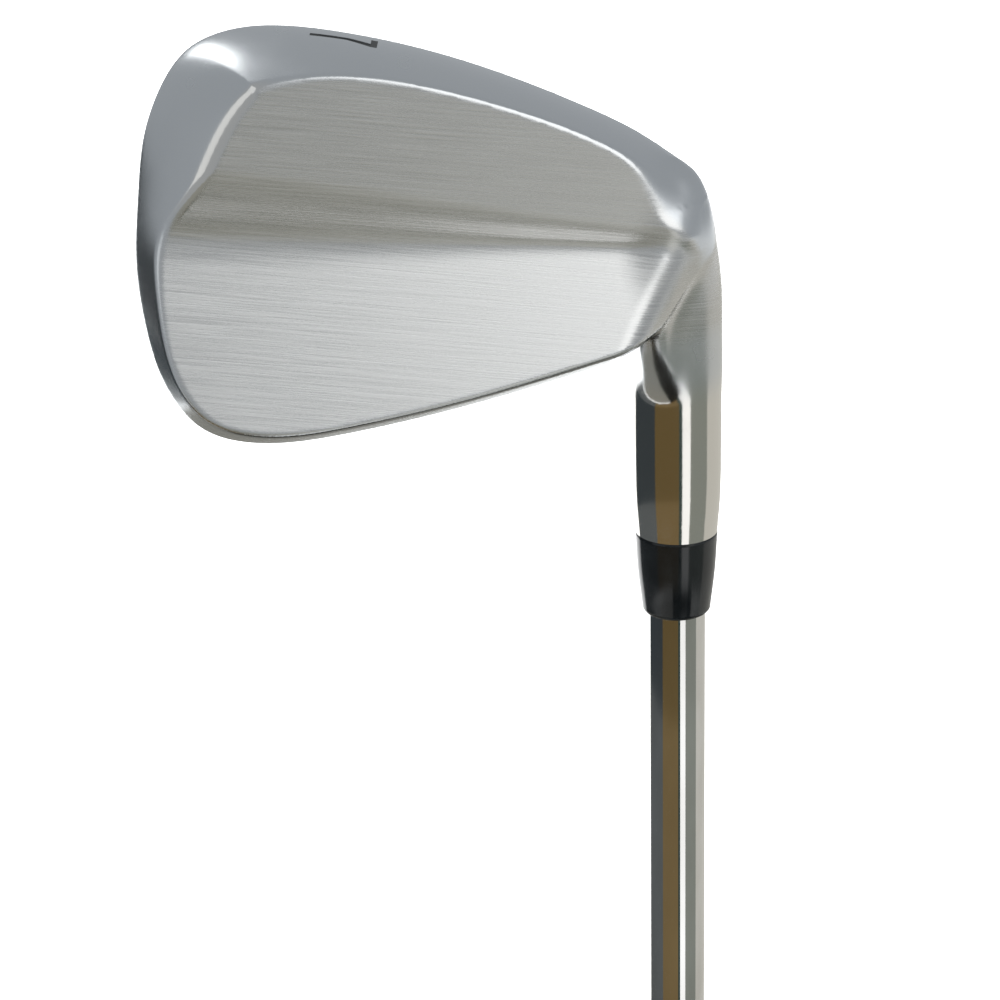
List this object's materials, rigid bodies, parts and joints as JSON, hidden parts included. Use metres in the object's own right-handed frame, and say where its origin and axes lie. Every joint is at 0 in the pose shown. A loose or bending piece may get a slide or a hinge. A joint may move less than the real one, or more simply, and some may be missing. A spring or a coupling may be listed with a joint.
{
  "type": "iron golf club",
  "caption": "Right-handed mid iron: thin forged blade with a thick sole muscle, a round hosel, a stepped steel shaft and a tapered rubber grip, used to strike a ball.",
  "frame": {"origin": "middle of the butt end face of the grip cap, on the shaft axis", "axes": "+Z along the shaft axis from the butt towards the head, -X towards the toe, +Y the way the face looks"},
  "size_m": [0.0945, 0.0518, 0.9644],
  "materials": {
    "head_satin": "satin chrome with a fine brushed grain, polished hosel",
    "number_enamel": "black enamel paint fill",
    "ferrule_plastic": "turned and solvent polished gloss black",
    "epoxy": "cured two-part adhesive",
    "shaft_chrome": "bright chrome plate on steel tube",
    "weight_brass": "turned brass",
    "tape_paper": "double-sided masking tape",
    "grip_rubber": "matt moulded rubber with a fine texture"
  },
  "bodies": {
    "root": {"clubhead": "head_satin", "sole_number_infill": "number_enamel", "ferrule": "ferrule_plastic", "hosel_epoxy": "epoxy", "shaft": "shaft_chrome", "shaft_tip_weight": "weight_brass", "grip_tape": "tape_paper", "grip_sleeve": "grip_rubber", "grip_cap": "grip_rubber"}
  },
  "joints": []
}
